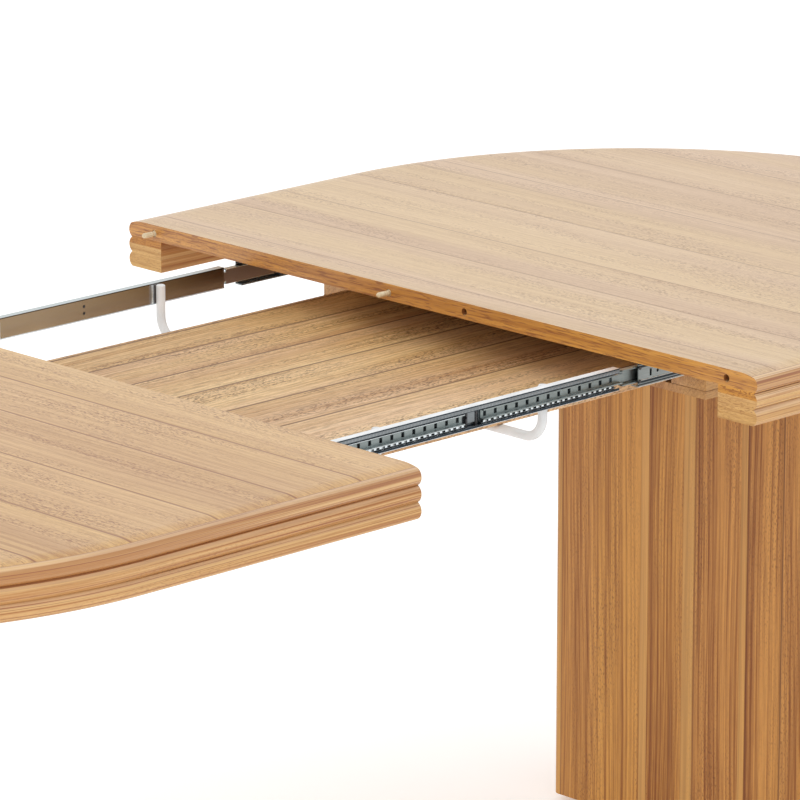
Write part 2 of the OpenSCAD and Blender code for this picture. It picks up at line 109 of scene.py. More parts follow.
# Half tops
# Each half is a board of oak planks glued edge to edge, with its grain along the meeting edge.
# Its border rounds down to the first of three beads, which run on over the bands below it, and
# the meeting edge is bored for the locating pins.
board_low, board_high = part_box("right_top")
lower_low, lower_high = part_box("right_rim_lower_band")
half_open = board_low.x
end_radius = board_high.y
straight_end = board_high.x - end_radius
rim_height = board_high.z - lower_low.z
border_width = 0.022
border_drop = 0.003
bead_depth = 0.0052
bead_height = (rim_height - border_drop) / 3
bead_steps = 12
end_steps = 96
smooth_below = math.radians(32)
same_place = 1e-6
pin_low, pin_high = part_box("right_locating_pins")
pin_radius, hole_radius = 0.0041, 0.0042
hole_depth = 0.030
hole_steps = 28
hole_z = (pin_low.z + pin_high.z) / 2
outer_hole_y = pin_high.y - pin_radius
inner_hole_y = 0.0605


class Value:
    """A number or a colour of a shader tree. A formula of Values adds its nodes to the tree."""

    def __init__(self, tree, socket):
        self.tree = tree
        self.socket = socket

    def math(self, operation, other=0.0, clamp=False):
        inlets = {0: self, 1: other}
        return add_node(self.tree, "ShaderNodeMath", inlets, operation=operation, use_clamp=clamp)

    def __add__(self, other):
        return self.math("ADD", other)

    def __sub__(self, other):
        return self.math("SUBTRACT", other)

    def __mul__(self, other):
        return self.math("MULTIPLY", other)

    def __abs__(self):
        return self.math("ABSOLUTE")

    def most(self, other):
        return self.math("MAXIMUM", other)

    def step(self, low, high, out_low=0.0, out_high=1.0):
        """Goes softly from out_low to out_high while this number goes from low to high."""
        inlets = {"Value": self, "From Min": low, "From Max": high}
        inlets |= {"To Min": out_low, "To Max": out_high}
        return add_node(self.tree, "ShaderNodeMapRange", inlets, interpolation_type="SMOOTHSTEP")

    def mix(self, first, second):
        """Mixes two colours, with this number as the second one's share."""
        return mix_node(self, first, second, "MIX")

    def tinted(self, tint):
        """Multiplies this colour by another."""
        return mix_node(1.0, self, tint, "MULTIPLY")


def add_node(tree, kind, inlets, outlet=0, **settings):
    """Adds a shader node, feeds it Values, numbers or colours, and returns its outlet."""
    node = tree.nodes.new(kind)
    for name, setting in settings.items():
        setattr(node, name, setting)
    for name, value in inlets.items():
        if isinstance(value, Value):
            tree.links.new(value.socket, node.inputs[name])
        elif isinstance(value, tuple):
            node.inputs[name].default_value = (*value, 1.0)
        else:
            node.inputs[name].default_value = value
    return Value(tree, node.outputs[outlet])


def mix_node(share, first, second, mode):
    """Blends two colours. Either the share or the first colour is a Value."""
    tree = (share if isinstance(share, Value) else first).tree
    inlets = {0: share, 6: first, 7: second}
    return add_node(tree, "ShaderNodeMix", inlets, 2, data_type="RGBA", blend_type=mode)


def split(vector):
    node = vector.tree.nodes.new("ShaderNodeSeparateXYZ")
    vector.tree.links.new(vector.socket, node.inputs[0])
    return [Value(vector.tree, outlet) for outlet in node.outputs]


def join(x, y, z):
    return add_node(x.tree, "ShaderNodeCombineXYZ", {"X": x, "Y": y, "Z": z})


def grain_noise(place, along, across, detail, shift=0.0):
    """Noise drawn out along the grain. along and across are how often it repeats in a metre."""
    x, y, z = place
    vector = join(x * along + shift, y * across, z * across)
    inlets = {"Vector": vector, "Scale": 1.0, "Detail": detail, "Roughness": 0.55}
    return add_node(x.tree, "ShaderNodeTexNoise", inlets, "Fac")


def start_group(name, vectors, numbers, colours, outlets):
    """Starts a node group. Returns its tree and a dictionary of what comes in."""
    group = bpy.data.node_groups.new(name, "ShaderNodeTree")
    for names, kind in ((vectors, "Vector"), (numbers, "Float"), (colours, "Color")):
        for inlet in names:
            group.interface.new_socket(inlet, in_out="INPUT", socket_type="NodeSocket" + kind)
    for outlet in outlets:
        kind = "Color" if outlet == "Colour" else "Float"
        group.interface.new_socket(outlet, in_out="OUTPUT", socket_type="NodeSocket" + kind)
    come = group.nodes.new("NodeGroupInput")
    return group, {outlet.name: Value(group, outlet) for outlet in come.outputs if outlet.name}


def end_group(group, **outlets):
    """Joins what the group makes to its outlets."""
    go = group.nodes.new("NodeGroupOutput")
    for name, value in outlets.items():
        group.links.new(value.socket, go.inputs[name])
    return group


def make_oak_group():
    """Oak: the grain runs along the place's X. Every plank has its own figure and tone."""
    numbers, colours = ("Plank", "Joint", "Figure", "Pores", "Ticks"), ("Light", "Dark", "Line")
    group, come = start_group("oak", ("Place",), numbers, colours, ("Colour", "Gloss", "Relief"))
    x, y, z = split(come["Place"])
    draws = {"W": come["Plank"]}
    draws = add_node(group, "ShaderNodeTexWhiteNoise", draws, "Color", noise_dimensions="1D")
    first, second, third = split(draws)
    shift = first * 60.0

    # the grain wanders a little, and the growth rings are cut into long loops
    wander = grain_noise((x, y, z), 1.3, 4.0, 1.0, shift) - 0.5
    place = (x, y + wander * 0.03, z)
    loops = grain_noise(place, 0.9, 8.0, 1.0, shift)
    ring = (place[1] + z * 0.8 + second) * 130.0 + loops * 9.0
    late = ring.math("FRACT")
    ring_line = late.step(0.30, 0.85) * late.step(0.90, 1.0, 1.0, 0.0)

    # broad soft bands, streaks and threads, then dark veins and short open pores
    band = grain_noise(place, 0.6, 15.0, 2.0, shift).step(0.32, 0.68)
    streak = grain_noise(place, 0.9, 105.0, 2.0, shift + 3.0).step(0.36, 0.64)
    thread = grain_noise(place, 2.2, 400.0, 1.5, shift + 5.0).step(0.32, 0.68)
    fibre = grain_noise(place, 15.0, 450.0, 1.0, shift + 7.0) - 0.5
    share = band * 0.30 + streak * 0.22 + thread * 0.26 + ring_line * 0.16
    share = share + fibre * 0.42 + (third - 0.5) * 0.26 - 0.48
    share = (share * come["Figure"] + 0.48).math("ADD", 0.0, clamp=True)
    vein = abs(grain_noise(place, 0.8, 70.0, 0.5, shift + 9.0) - 0.5).step(0.0, 0.012, 1.0, 0.0)
    vein = vein * grain_noise(place, 1.1, 12.0, 1.0, shift + 11.0).step(0.46, 0.60)
    pore = grain_noise(place, 230.0, 850.0, 0.0, shift).step(0.56, 0.66)
    patch = grain_noise(place, 3.0, 32.0, 1.5, shift + 13.0).step(0.40, 0.66, 0.15, 1.0)
    pore = pore * patch * come["Pores"]
    tick = grain_noise(place, 42.0, 560.0, 1.0, shift + 19.0).step(0.53, 0.66) * come["Ticks"]
    lines = (come["Joint"] * 0.85).most(vein * 0.42).most(pore * 0.55).most(tick)

    colour = share.mix(come["Light"], come["Dark"])
    warmth = grain_noise(place, 0.5, 13.0, 1.0, shift + 17.0).step(0.35, 0.65)
    tint = warmth.mix((1.03, 1.0, 0.90), (1.0, 0.955, 1.02))
    colour = lines.mix(colour.tinted(tint), come["Line"])
    gloss = share * 0.08 + lines * 0.2 + 0.36
    relief = fibre * 0.5 - lines - ring_line * 0.2
    return end_group(group, Colour=colour, Gloss=gloss, Relief=relief)


oak_group = make_oak_group()


def start_material(name):
    """Returns a material, its shader and the object coordinates as a Value."""
    material = bpy.data.materials.new(name)
    material.use_nodes = True
    tree = material.node_tree
    place = add_node(tree, "ShaderNodeTexCoord", {}, "Object")
    return material, tree.nodes["Principled BSDF"], place


def finish_material(shader, looks, relief_depth=0.0004):
    """Joins a surface's colour, gloss and relief to its shader."""
    tree = looks["Colour"].tree
    tree.links.new(looks["Colour"].socket, shader.inputs["Base Color"])
    tree.links.new(looks["Gloss"].socket, shader.inputs["Roughness"])
    inlets = {"Height": looks["Relief"], "Distance": relief_depth, "Strength": 0.6}
    bump = add_node(tree, "ShaderNodeBump", inlets)
    tree.links.new(bump.socket, shader.inputs["Normal"])


def use_group(tree, group, inlets):
    """Places a node group in a material with its own values, and returns what it puts out."""
    node = tree.nodes.new("ShaderNodeGroup")
    node.node_tree = group
    for name, value in inlets.items():
        if isinstance(value, Value):
            tree.links.new(value.socket, node.inputs[name])
        else:
            node.inputs[name].default_value = (*value, 1.0) if isinstance(value, tuple) else value
    return {outlet.name: Value(tree, outlet) for outlet in node.outputs}


def oak_looks(place, plank, joint, colours, figure, pores, ticks):
    """Oak, with its grain along the first axis of place. Ticks are short dark marks in it."""
    light, dark, line = colours
    return use_group(place[0].tree, oak_group, {
        "Place": join(*place), "Plank": plank, "Joint": joint, "Figure": figure, "Pores": pores,
        "Ticks": ticks, "Light": light, "Dark": dark, "Line": line,
    })


def even_planks(across, width, seed, joint_width=0.0009):
    """Planks of nearly one width. Returns each plank's number, and a mask of the glued joints."""
    cell = across * (1.0 / width) + seed * 7.31
    settings = {"W": cell, "Scale": 1.0, "Randomness": 0.7}
    number = add_node(cell.tree, "ShaderNodeTexVoronoi", settings, "W", voronoi_dimensions="1D")
    edge = add_node(cell.tree, "ShaderNodeTexVoronoi", settings, "Distance",
                    voronoi_dimensions="1D", feature="DISTANCE_TO_EDGE")
    return number, (edge * width).step(0.0002, joint_width, 1.0, 0.0)


def pick(mask, first, second):
    """Takes the first surface where the mask is 0 and the second where it is 1."""
    looks = {"Colour": mask.mix(first["Colour"], second["Colour"])}
    for name in ("Gloss", "Relief"):
        looks[name] = first[name] * (mask * -1.0 + 1.0) + second[name] * mask
    return looks


def round_rim(place):
    """Turns a place on a rim into length along the rim, height, and distance from the middle."""
    x, y, z = place
    out = abs(x) - straight_end
    past = out.most(0.0)
    before = (out * -1.0).most(0.0)
    radius = (past * past + y * y).math("SQRT")
    side = y.math("SIGN")
    other_half = x.math("SIGN") * 7.0
    length = y.math("ARCTAN2", past) * end_radius + side * before + other_half
    return length, z, radius


# of each oak, the light wood, the dark wood and the lines between
right_colours = ((0.72, 0.51, 0.275), (0.53, 0.33, 0.150), (0.24, 0.095, 0.040))
left_colours = ((0.70, 0.435, 0.138), (0.45, 0.22, 0.050), (0.25, 0.070, 0.014))
right_rim_colours = ((0.70, 0.455, 0.200), (0.46, 0.215, 0.062), (0.15, 0.040, 0.012))
left_rim_colours = ((0.65, 0.400, 0.165), (0.40, 0.170, 0.042), (0.12, 0.030, 0.009))
# the dark of the rim's thin grain lines, also used as painted shade in the valleys between beads
rim_line = (0.26, 0.070, 0.018)
# painted reflection: the pale colour the beads take where they face up
painted_bead_reflection = (0.86, 0.66, 0.45)
edge_colours = ((0.60, 0.288, 0.048), (0.37, 0.142, 0.017), (0.20, 0.050, 0.008))
border_reach = 0.003
meeting_reach = 0.0004
bead_top = board_high.z - border_drop


def facing(tree):
    """The three parts of the direction that the surface faces."""
    return split(add_node(tree, "ShaderNodeNewGeometry", {}, "True Normal"))


def at_meeting_edge(x):
    """A mask of the upright plane in which the two halves meet."""
    return abs(x).math("LESS_THAN", half_open + meeting_reach)


def bead_looks(place, seed, colours, paleness):
    """Oak in long thin streaks round the rim, with painted reflection where a bead faces up,
    painted shade on the first bead and painted shade between beads.
    """
    rim_place = round_rim(split(place))
    rim = oak_looks(rim_place, seed, 0.0, colours, figure=1.3, pores=0.5, ticks=0.12)
    streak = grain_noise(rim_place, 1.4, 330.0, 1.5, seed + 8.0)
    thin = grain_noise(rim_place, 1.8, 600.0, 1.0, seed + 4.0).step(0.34, 0.43, 0.75, 0.0)
    light = streak.step(0.54, 0.66, 0.0, 0.9)
    dark = streak.step(0.34, 0.46, 0.9, 0.0)
    # painted reflection: paler where the bead faces up, as strong as paleness says
    upward = facing(place.tree)[2].step(0.10, 0.85, 0.0, paleness)
    inside = rim_place[2] * -1.0 + end_radius
    height = rim_place[1] - bead_top
    # painted shade: the first bead is painted towards the dark wood, all but its top
    first_bead_shade = height.step(-bead_height, 0.003 - bead_height, 0.0, 0.75)
    first_bead_shade = first_bead_shade * height.step(-0.004, -0.001, 1.0, 0.0)
    # painted shade in the valleys between beads, weaker in the lower valley
    valley_shade = inside.step(0.0034, bead_depth) * height.step(-0.004, 0.0, 1.0, 0.0)
    valley_shade = valley_shade * height.step(-1.6 * bead_height, -1.4 * bead_height, 0.2, 0.65)
    seam = abs(inside - border_reach - bead_depth).step(0.0, 0.0011, 0.7, 0.0)
    colour = first_bead_shade.mix(upward.mix(rim["Colour"], painted_bead_reflection), colours[1])
    colour = dark.mix(light.mix(colour, colours[0]), colours[1])
    rim["Colour"] = thin.most(valley_shade).most(seam).mix(colour, rim_line)
    return rim


def board_material(name, colours, rim_colours, seed, figure, joint_width, paleness):
    """Planks on the flat faces, the beads' grain round the rim, darker oak on the meeting edge."""
    material, shader, place = start_material(name)
    x, y, z = split(place)
    number, joint = even_planks(x, 0.11, seed, joint_width)
    face = oak_looks((y, x, z), number, joint, colours, figure, figure, 0.16 * figure)
    edge = oak_looks((y, z, x), seed + 5.0, 0.0, edge_colours, figure=1.8, pores=0.5, ticks=0.65)
    upright = abs(facing(place.tree)[2]).step(0.86, 0.95, 1.0, 0.0)
    meeting = upright * at_meeting_edge(x)
    past_border = round_rim((x, y, z))[2] - end_radius + bead_depth + border_reach
    rim = past_border.step(-0.0008, 0.0)
    looks = pick(upright.most(rim), face, bead_looks(place, seed + 3.0, rim_colours, paleness))
    finish_material(shader, pick(meeting, looks, edge))
    shader.inputs["Coat Weight"].default_value = 0.5
    shader.inputs["Coat Roughness"].default_value = 0.3
    return material


def rim_section(low, high, inner):
    """One layer's share of the rim's section, from its inner edge out, as radius and height."""
    bead_radius = (bead_height ** 2 / 4 + bead_depth ** 2) / (2 * bead_depth)
    border_radius = (border_width ** 2 + border_drop ** 2) / (2 * border_drop)
    points = [(inner, high)]
    if high > 3 * bead_height:
        for step in range(bead_steps):
            out = border_width * step / bead_steps
            drop = border_radius - math.sqrt(border_radius ** 2 - out ** 2)
            points.append((end_radius - bead_depth - border_width + out, rim_height - drop))
    for bead in (2, 1, 0):
        middle = (bead + 0.5) * bead_height
        top = min(high - middle, bead_height / 2)
        bottom = max(low - middle, -bead_height / 2)
        if top > bottom:
            first, last = math.asin(top / bead_radius), math.asin(bottom / bead_radius)
            for step in range(bead_steps + 1):
                angle = first + (last - first) * step / bead_steps
                out = end_radius - bead_radius * (1 - math.cos(angle))
                points.append((out, middle + bead_radius * math.sin(angle)))
    points.append((inner, low))
    apart = [math.dist(point, after) > same_place for point, after in zip(points, points[1:])]
    return [point for point, kept in zip(points, apart + [True]) if kept]


def only(kind, geometry):
    """The vertices or the edges of what an operator made."""
    return [element for element in geometry if isinstance(element, kind)]


def moved(made, step):
    """Shifts what an extrusion made, and returns its edges."""
    for vert in only(BMVert, made["geom"]):
        vert.co += Vector(step)
    return only(BMEdge, made["geom"])


def edges_at(verts):
    """The edges that end at these vertices, each of them once."""
    return list(dict.fromkeys(edge for vert in verts for edge in vert.link_edges))


def in_plane(edges, axis, distance):
    """The edges that lie in the plane where one axis has this distance."""
    return [e for e in edges if all(abs(v.co[axis] - distance) < same_place for v in e.verts)]


def sweep_layer(bm, low, high, inner):
    """Runs the section along one side, round the end and back along the other side."""
    base = lower_low.z
    section = rim_section(low - base, high - base, inner)
    points = [bm.verts.new((half_open, -radius, base + height)) for radius, height in section]
    first = [bm.edges.new(pair) for pair in zip(points, points[1:])]
    if inner > 0:
        first.append(bm.edges.new((points[-1], points[0])))
    straight = straight_end - half_open
    edges = moved(bmesh.ops.extrude_edge_only(bm, edges=first), (straight, 0, 0))
    turn = {"cent": (straight_end, 0, 0), "axis": (0, 0, 1), "angle": math.pi, "steps": end_steps}
    spun = bmesh.ops.spin(bm, geom=in_plane(edges, 0, straight_end), **turn)
    edges = only(BMEdge, spun["geom_last"])
    edges = moved(bmesh.ops.extrude_edge_only(bm, edges=edges), (-straight, 0, 0))
    return first, in_plane(edges, 0, half_open)


def bore(bm, centre, direction):
    """Starts a pin hole: a ring of edges on the face, and a closed wall behind it."""
    turn = Vector((0, 0, 1)).rotation_difference(Vector(direction)).to_matrix().to_4x4()
    matrix = Matrix.Translation(centre) @ turn
    circle = {"cap_ends": False, "segments": hole_steps, "radius": hole_radius}
    ring = bmesh.ops.create_circle(bm, matrix=matrix, **circle)
    made = bmesh.ops.extrude_edge_only(bm, edges=edges_at(ring["verts"]))
    moved(made, Vector(direction) * hole_depth)
    bmesh.ops.contextual_create(bm, geom=only(BMVert, made["geom"]))


def close_face(bm, axis, distance):
    """Fills the open outline, with its holes, in the plane where one axis has this distance."""
    edges = in_plane([e for e in bm.edges if e.is_boundary], axis, distance)
    bmesh.ops.triangle_fill(bm, use_beauty=True, use_dissolve=False, edges=edges)


def to_piece(bm, name, material, body, replaced=(), half_turn=False):
    """Makes a mesh an object, and puts it on its body in place of its CAD nodes."""
    bmesh.ops.remove_doubles(bm, verts=bm.verts, dist=same_place)
    if half_turn:
        turn = Matrix.Rotation(math.pi, 3, "Z")
        bmesh.ops.rotate(bm, verts=bm.verts, cent=(0, 0, 0), matrix=turn)
    bmesh.ops.recalc_face_normals(bm, faces=bm.faces)
    for face in bm.faces:
        face.smooth = True
    data = bpy.data.meshes.new(name)
    bm.to_mesh(data)
    bm.free()
    data.set_sharp_from_angle(angle=smooth_below)
    data.materials.append(material)
    piece = bpy.data.objects.new(name, data)
    bpy.context.scene.collection.objects.link(piece)
    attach(piece, body)
    if replaced:
        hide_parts(*replaced)


# the values are the seed, the figure's strength, a joint's width and the strength of the beads'
# painted reflection
right_bead_reflection, left_bead_reflection = 0.60, 0.34
for side, colours, rim_colours, *values in (
    ("right", right_colours, right_rim_colours, 1.0, 1.0, 0.0011, right_bead_reflection),
    ("left", left_colours, left_rim_colours, 2.0, 1.3, 0.0026, left_bead_reflection),
):
    bm = bmesh.new()
    sweep_layer(bm, board_low.z, board_high.z, 0.0)
    for y in (-outer_hole_y, -inner_hole_y, inner_hole_y, outer_hole_y):
        bore(bm, (half_open, y, hole_z), (1, 0, 0))
    bmesh.ops.remove_doubles(bm, verts=bm.verts, dist=same_place)
    close_face(bm, 0, half_open)
    oak_board = board_material(f"{side}_oak_board", colours, rim_colours, *values)
    top = f"{side}_top"
    to_piece(bm, f"{side}_board", oak_board, f"{side}_half", [top], side == "left")

# Rim bands
# A thin and a thick band of oak are glued under each board's rim, and the lower two of the three
# beads are run over them. Their ends are cut square, and the thick band is the paler one.
upper_low, upper_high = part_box("right_rim_upper_band")
band_width = 0.056
end_colours = ((0.66, 0.415, 0.145), (0.44, 0.230, 0.060), (0.28, 0.105, 0.025))


def band_material(name, seed, colours, ticks, rim_colours, paleness):
    """The beads' grain round the rim, and another cut of oak on the two square ends."""
    material, shader, place = start_material(name)
    x, y, z = split(place)
    end = oak_looks((y, z, x), seed + 2.0, 0.0, colours, 1.3, 1.4, ticks)
    beads = bead_looks(place, seed, rim_colours, paleness)
    finish_material(shader, pick(at_meeting_edge(x), beads, end))
    return material


for level, low, high, colours, ticks in (
    ("upper", upper_low, upper_high, edge_colours, 0.62),
    ("lower", lower_low, lower_high, end_colours, 0.34),
):
    seed = low.z * 100
    for side, *rim_values in (
        ("right", right_rim_colours, right_bead_reflection), ("left", left_rim_colours, left_bead_reflection),
    ):
        oak_rim = band_material(f"{side}_{level}_oak_rim", seed, colours, ticks, *rim_values)
        bm = bmesh.new()
        first, last = sweep_layer(bm, low.z, high.z, end_radius - band_width)
        bmesh.ops.contextual_create(bm, geom=first)
        bmesh.ops.contextual_create(bm, geom=last)
        half, band = f"{side}_half", f"{side}_rim_{level}_band"
        to_piece(bm, f"{side}_{level}_rim", oak_rim, half, [band], side == "left")

# Locating pins
# Each is a turned beech dowel with a rounded nose, which finds its hole in the leaf or in the
# other half as the table closes. A shallow groove marks how deep it is driven.
beech, beech_shader, beech_place = start_material("pin_beech")
x, y, z = split(beech_place)
turned = grain_noise((x, y, z), 500.0, 90.0, 1.0)
fleck = grain_noise((x, y, z), 60.0, 900.0, 2.0, 3.0)
pale_beech, dark_beech = (0.84, 0.74, 0.52), (0.66, 0.52, 0.32)
finish_material(beech_shader, {
    "Colour": (turned * 0.5 + fleck * 0.5).step(0.35, 0.65).mix(pale_beech, dark_beech),
    "Gloss": fleck * 0.2 + 0.35,
    "Relief": turned + fleck * 0.5,
}, 0.0001)


def lathe(bm, points, place, direction, steps=32):
    """Turns a profile of radius and length round a line through place."""
    turn = Vector((0, 0, 1)).rotation_difference(Vector(direction)).to_matrix()
    profile = [Vector(place) + turn @ Vector((radius, 0, length)) for radius, length in points]
    verts = [bm.verts.new(point) for point in profile]
    edges = [bm.edges.new(pair) for pair in zip(verts, verts[1:])]
    full_turn = {"cent": place, "axis": direction, "angle": 2 * math.pi, "use_merge": True}
    bmesh.ops.spin(bm, geom=verts + edges, steps=steps, **full_turn)


root_length, root_bevel = 0.026, 0.0006
nose_radius, nose_length, groove_radius = 0.003, half_open - pin_low.x, 0.0026
nose_steps = 8
pin_points = [
    (0, -root_length), (pin_radius - root_bevel, -root_length),
    (pin_radius, root_bevel - root_length), (pin_radius, -0.0016), (0.0034, -0.001),
    (nose_radius, -0.0008), (nose_radius, 0.0010), (groove_radius, 0.0014), (nose_radius, 0.0018),
]
for step in range(nose_steps + 1):
    angle = math.pi / 2 * step / nose_steps
    nose_x = nose_length - nose_radius + nose_radius * math.sin(angle)
    pin_points.append((nose_radius * math.cos(angle), nose_x))
for side in ("right", "left"):
    bm = bmesh.new()
    for y in (inner_hole_y, outer_hole_y):
        lathe(bm, pin_points, (half_open, y, hole_z), (-1, 0, 0))
    pins = f"{side}_locating_pins"
    to_piece(bm, f"{side}_pins", beech, f"{side}_half", [pins], side == "left")

# Spare leaf
# A plain board of the same planks, with the tops' border and bead on its two short ends. It lies
# lengthwise below the tops, on the two bent bars, and its long edges are bored for the pins.
leaf_low, leaf_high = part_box("spare_leaf")
leaf_colours = ((0.85, 0.60, 0.315), (0.50, 0.262, 0.085), (0.10, 0.030, 0.010))
oak_leaf, leaf_shader, leaf_place = start_material("oak_leaf")
x, y, z = split(leaf_place)
number, joint = even_planks(y, 0.075, 2.0, 0.0030)
leaf_looks = oak_looks((x, y, z), number, joint, leaf_colours, 1.4, 1.4, 0.35)
finish_material(leaf_shader, leaf_looks)

bm = bmesh.new()
border = rim_section(board_low.z - lower_low.z, rim_height, 0.0)[1:-1]
shift = Vector((leaf_high.x - end_radius, leaf_high.z - rim_height))
half_section = [Vector(point) + shift for point in border]
outline = [(x, z) for x, z in half_section] + [(-x, z) for x, z in reversed(half_section)]
section = [bm.verts.new((x, leaf_low.y, z)) for x, z in outline]
section_edges = [bm.edges.new(pair) for pair in zip(section, section[1:] + section[:1])]
moved(bmesh.ops.extrude_edge_only(bm, edges=section_edges), (0, leaf_high.y - leaf_low.y, 0))
leaf_hole_z = leaf_high.z - (board_high.z - hole_z)
for face_y, inward in ((leaf_low.y, 1), (leaf_high.y, -1)):
    for x in (inner_hole_y, outer_hole_y):
        bore(bm, (-inward * x, face_y, leaf_hole_z), (0, inward, 0))
    close_face(bm, 1, face_y)
to_piece(bm, "leaf_board", oak_leaf, "leaf", ["spare_leaf"])

# Bearers, rails and plates
# Plain oak boards below the tops carry the slides and stand on the pedestals. The bearers have
# softened edges; the rails and the plates keep the solids, with their bored screw seats.
frame_colours = ((0.56, 0.32, 0.105), (0.36, 0.170, 0.048), (0.15, 0.052, 0.016))
oak_frame, frame_shader, frame_place = start_material("oak_frame")
x, y, z = split(frame_place)
board_number = y.math("SIGN") + x.math("SIGN") * 5.0
frame_looks = oak_looks((x, y, z), board_number, 0.0, frame_colours, 1.3, 1.0, 0.2)
finish_material(frame_shader, frame_looks)


def dress(node, material):
    """Gives a CAD node, which keeps its shape, a finish of its own."""
    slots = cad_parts[node].data.materials
    slots.clear()
    slots.append(material)


def soft_box(bm, low, high, edge):
    """A block with rounded edges."""
    matrix = Matrix.Translation((low + high) / 2) @ Matrix.Diagonal((*(high - low), 1.0))
    made = bmesh.ops.create_cube(bm, size=1.0, matrix=matrix)
    rounding = {"affect": "EDGES", "segments": 2, "profile": 0.5, "material": -1}
    bmesh.ops.bevel(bm, geom=edges_at(made["verts"]), offset=edge, **rounding)


bearer_edge = 0.0012
for side in ("right", "left"):
    for name in ("plate", "rails"):
        dress(f"{side}_{name}", oak_frame)
    for name in ("near", "far"):
        bearer = f"{side}_bearer_{name}"
        bm = bmesh.new()
        soft_box(bm, *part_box(bearer), bearer_edge)
        to_piece(bm, f"{side}_{name}_beam", oak_frame, f"{side}_half", [bearer])

# Pedestals
# Each is a box of upright planks of several widths, with rounded corners, on a base board. The
# narrow planks between the wide ones are lighter, as in the photograph.
upright_colours = ((0.60, 0.305, 0.070), (0.235, 0.074, 0.010), (0.085, 0.022, 0.012))
# where each plank starts, across the pedestal, and its tone
strips = (
    (-0.25, 0.55), (-0.166, 0.35), (-0.111, 0.80), (-0.101, 0.45), (-0.027, 0.90), (-0.009, 0.50),
    (0.048, 0.85), (0.060, 0.40), (0.191, 0.75),
)
strip_reach = 0.25
pale_strip = (0.66, 0.39, 0.125)
joint_reach = 0.0018


def ramp(share, interpolation, marks):
    """A colour ramp of greys. marks holds each stop's place and tone."""
    node = share.tree.nodes.new("ShaderNodeValToRGB")
    share.tree.links.new(share.socket, node.inputs[0])
    node.color_ramp.interpolation = interpolation
    stops = node.color_ramp.elements
    stops.remove(stops[1])
    stops[0].position = marks[0][0]
    for position, _ in marks[1:]:
        stops.new(position)
    for stop, (_, tone) in zip(stops, marks):
        stop.color = (tone, tone, tone, 1.0)
    return Value(share.tree, node.outputs["Color"])


def set_planks(across):
    """Planks at set places. Returns each plank's tone, and a mask of the glued joints."""
    share = (across + strip_reach) * (0.5 / strip_reach)
    tones = [((start + strip_reach) * 0.5 / strip_reach, tone) for start, tone in strips]
    joints = [(0.0, 0.0)]
    for middle, _ in tones[1:]:
        joints += [(middle - joint_reach, 0.0), (middle, 1.0), (middle + joint_reach, 0.0)]
    return ramp(share, "CONSTANT", tones), ramp(share, "LINEAR", joints)


def upright_material(name, flat):
    """Upright planks. flat says whether the board faces along the table."""
    material, shader, place = start_material(name)
    x, y, z = split(place)
    across, depth = (y, x) if flat else (x, y)
    if flat:
        tone, joint = set_planks(across)
    else:
        tone, joint = even_planks(across, 0.07, 4.0)
    looks = oak_looks((z, across, depth), tone, joint, upright_colours, 1.6, 0.8, 0.12)
    if flat:
        paleness = (tone - 0.5).step(0.0, 0.45, 0.0, 0.55)
        looks["Colour"] = paleness.mix(looks["Colour"], pale_strip)
    finish_material(shader, looks)
    shader.inputs["Specular IOR Level"].default_value = 0.35
    return material


oak_upright = upright_material("oak_upright", True)
oak_upright_side = upright_material("oak_upright_side", False)
for side in ("right", "left"):
    for name in ("pedestal_face", "pedestal_back", "pedestal_base", "pedestal_cleats"):
        dress(f"{side}_{name}", oak_upright)
    dress(side + "_pedestal_sides", oak_upright_side)

# Glides
# Four round rubber glides, moulded with rounded rims, stand under each pedestal. Their studs are
# pushed up into the base board, where nothing shows them.


def make_black(name, low, high, gloss):
    """Moulded black: a fine mottle in colour, gloss and relief."""
    material, shader, place = start_material(name)
    x, y, z = split(place)
    mottle = grain_noise((x, y, z), 900.0, 900.0, 2.0)
    cloud = grain_noise((x, y, z), 60.0, 60.0, 2.0)
    finish_material(shader, {
        "Colour": (mottle * 0.6 + cloud * 0.4).step(0.35, 0.65).mix(low, high),
        "Gloss": mottle * 0.25 + gloss,
        "Relief": mottle,
    }, 0.0001)
    return material


rubber = make_black("black_rubber", (0.012, 0.012, 0.013), (0.035, 0.035, 0.037), 0.55)
nylon = make_black("black_nylon", (0.015, 0.015, 0.017), (0.045, 0.045, 0.050), 0.32)
glide_low, glide_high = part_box("right_glides")
glide_radius, glide_height, glide_steps = 0.015, 0.008, 40
glide_points = [
    (0, 0), (0.0128, 0), (0.0140, 0.0005), (0.0147, 0.0018), (glide_radius, 0.0030),
    (glide_radius, 0.0066), (0.0146, 0.0076), (0.0138, glide_height), (0, glide_height),
]
for side in ("right", "left"):
    bm = bmesh.new()
    for x in (glide_low.x + glide_radius, glide_high.x - glide_radius):
        for y in (glide_low.y + glide_radius, glide_high.y - glide_radius):
            lathe(bm, glide_points, (x, y, 0), (0, 0, 1), glide_steps)
    glides = f"{side}_glides"
    to_piece(bm, f"{side}_feet", rubber, f"{side}_half", [glides], side == "left")

# Carrier bars
# Two white-coated steel rods, each bent into a wide U that hangs from the backs of the two middle
# channels and carries the leaf.
white_coat, white_shader, white_place = start_material("white_coat")
x, y, z = split(white_place)
peel = grain_noise((x, y, z), 450.0, 450.0, 1.0)
haze = grain_noise((x, y, z), 25.0, 25.0, 2.0)
finish_material(white_shader, {
    "Colour": haze.step(0.3, 0.7).mix((0.70, 0.71, 0.71), (0.80, 0.80, 0.79)),
    "Gloss": peel * 0.15 + 0.30,
    "Relief": peel,
}, 0.00015)
bend_radius = 0.025
bend_steps = 12
rod_steps = 24
tip_height, tip_share = 0.0009, 0.8


